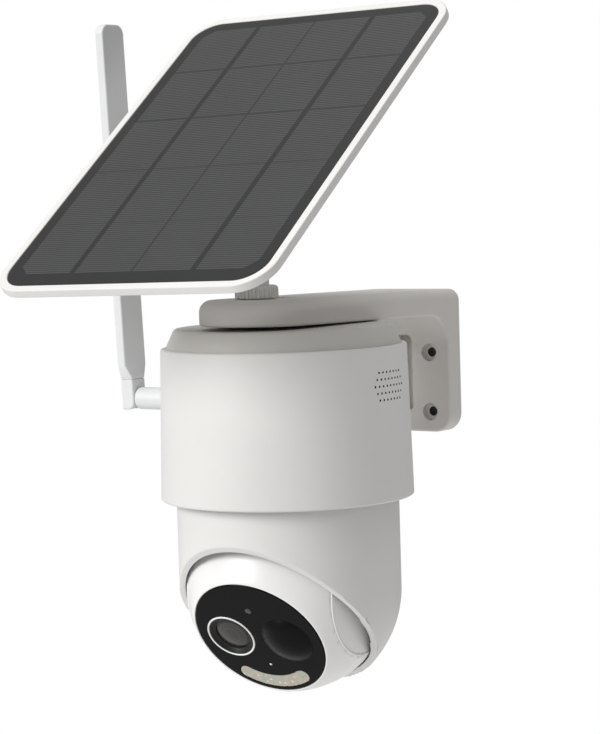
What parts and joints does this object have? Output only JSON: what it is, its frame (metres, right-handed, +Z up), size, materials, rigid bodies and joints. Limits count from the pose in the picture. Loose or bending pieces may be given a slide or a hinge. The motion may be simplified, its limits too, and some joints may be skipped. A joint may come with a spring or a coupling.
{
  "type": "security camera",
  "caption": "Outdoor pan and tilt security camera on an L-shaped wall bracket, with a tilting solar panel on a ball joint and a folding paddle antenna.",
  "frame": {"origin": "centre of the wall plate's back face", "axes": "+Z up, +Y into the wall, so the camera stands out along -Y; +X to the right seen from the front"},
  "size_m": [0.1492, 0.2029, 0.2712],
  "materials": {
    "bracket_plastic": "fine satin texture",
    "housing_grey": "fine satin texture",
    "housing_white": "smooth satin",
    "ball_white": "smooth semi-gloss",
    "ring_white": "gloss",
    "gloss_black": "high gloss",
    "matte_black": "matte",
    "lens_glass": "coated glass",
    "lamp_lens": "frosted translucent",
    "solar_glass": "satin laminate",
    "joint_grey": "satin",
    "antenna_white": "satin",
    "black_rubber": "matte",
    "white_rubber": "matte",
    "inner_black": "matte",
    "cell_wrap": "satin wrap",
    "circuit_board": "solder mask",
    "gear_nylon": "natural nylon",
    "motor_steel": "brushed",
    "screw_steel": "machined",
    "brass": "machined"
  },
  "bodies": {
    "housing": {"wall_bracket": "bracket_plastic", "mounting_screw": "screw_steel", "mounting_pad": "black_rubber", "top_cap": "housing_grey", "threaded_insert": "brass", "upper_shroud": "housing_white", "base_plate": "housing_white", "base_screws": "screw_steel", "battery_tray": "inner_black", "battery_cells": "cell_wrap", "main_board": "circuit_board", "speaker": "inner_black", "pan_motor": "motor_steel", "antenna_socket": "brass", "antenna_nut": "brass", "service_bezel": "housing_grey", "usb_port": "motor_steel"},
    "service_flap": {"service_flap": "white_rubber"},
    "power_button": {"power_button": "black_rubber"},
    "reset_button": {"reset_button": "black_rubber"},
    "pan_pinion": {"pan_pinion": "gear_nylon"},
    "yoke": {"yoke_hood": "housing_white", "pan_gear": "gear_nylon", "gear_screws": "screw_steel", "pan_retainer": "motor_steel", "tilt_bush_right": "brass", "tilt_gear": "gear_nylon"},
    "head": {"ball_front_shell": "ball_white", "ball_rear_shell": "ball_white", "cheek_cover_left": "ball_white", "cheek_cover_right": "ball_white", "tilt_bush_left": "brass", "tilt_axle_right": "motor_steel", "face_plate": "gloss_black", "lens_ring": "ring_white", "lens_barrel": "matte_black", "lens_glass": "lens_glass", "image_board": "circuit_board", "motion_dome": "gloss_black", "motion_sensor": "motor_steel", "lamp_window": "lamp_lens", "lamp_board": "circuit_board", "light_sensor": "lens_glass", "microphone": "motor_steel", "tilt_motor": "motor_steel"},
    "tilt_pinion": {"tilt_pinion": "gear_nylon"},
    "panel_stud": {"panel_stud": "joint_grey"},
    "lock_nut": {"lock_nut": "joint_grey"},
    "panel": {"solar_laminate": "solar_glass", "panel_frame": "housing_white", "panel_back": "housing_white", "ball_socket": "joint_grey", "cable_gland": "black_rubber"},
    "antenna_elbow": {"antenna_elbow": "antenna_white"},
    "antenna_blade": {"antenna_blade": "antenna_white", "antenna_pin": "screw_steel"}
  },
  "joints": [
    {"name": "pan", "type": "hinge", "parent": "housing", "child": "yoke", "pos_m": [0, -0.097, -0.037], "axis": [0, 0, 1], "range_deg": [-175, 175]},
    {"name": "pan_pinion_spin", "type": "hinge", "parent": "housing", "child": "pan_pinion", "pos_m": [-0.03, -0.097, -0.037], "axis": [0, 0, 1], "range_deg": [-700, 700]},
    {"name": "tilt", "type": "hinge", "parent": "yoke", "child": "head", "pos_m": [0, -0.097, -0.0837], "axis": [0.9969, 0.0785, 0], "range_deg": [-30, 55]},
    {"name": "tilt_pinion_spin", "type": "hinge", "parent": "head", "child": "tilt_pinion", "pos_m": [-0.03105, -0.08604, -0.07489], "axis": [0.9969, 0.0785, 0], "range_deg": [-90, 165]},
    {"name": "panel_swivel", "type": "hinge", "parent": "housing", "child": "panel_stud", "pos_m": [0, -0.114, 0.03], "axis": [0, 0, 1], "range_deg": [-45, 20]},
    {"name": "panel_tilt", "type": "hinge", "parent": "panel_stud", "child": "panel", "pos_m": [0, -0.114, 0.07097], "axis": [1, 0, 0], "range_deg": [-36, 13]},
    {"name": "lock_nut_turn", "type": "hinge", "parent": "housing", "child": "lock_nut", "pos_m": [0, -0.114, 0.0345], "axis": [0, 0, 1], "range_deg": [0, 540]},
    {"name": "antenna_swivel", "type": "hinge", "parent": "housing", "child": "antenna_elbow", "pos_m": [-0.06, -0.097, -0.01015], "axis": [1, 0, 0], "range_deg": [-35, 180]},
    {"name": "antenna_fold", "type": "hinge", "parent": "antenna_elbow", "child": "antenna_blade", "pos_m": [-0.0763, -0.097, -0.0113], "axis": [0, 1, 0], "range_deg": [-87.5, 2.5]},
    {"name": "service_flap_hinge", "type": "hinge", "parent": "housing", "child": "service_flap", "pos_m": [0, -0.0479, -0.015], "axis": [-1, 0, 0], "range_deg": [0, 110]},
    {"name": "power_button_press", "type": "slide", "parent": "housing", "child": "power_button", "axis": [0, -1, 0], "range_m": [0, 0.0008], "stiffness_N_per_m": 800},
    {"name": "reset_button_press", "type": "slide", "parent": "housing", "child": "reset_button", "axis": [0, -1, 0], "range_m": [0, 0.0005], "stiffness_N_per_m": 800}
  ],
  "couplings": [
    {"joint": "pan_pinion_spin", "follows": "pan", "ratio": -4},
    {"joint": "tilt_pinion_spin", "follows": "tilt", "ratio": 3}
  ]
}
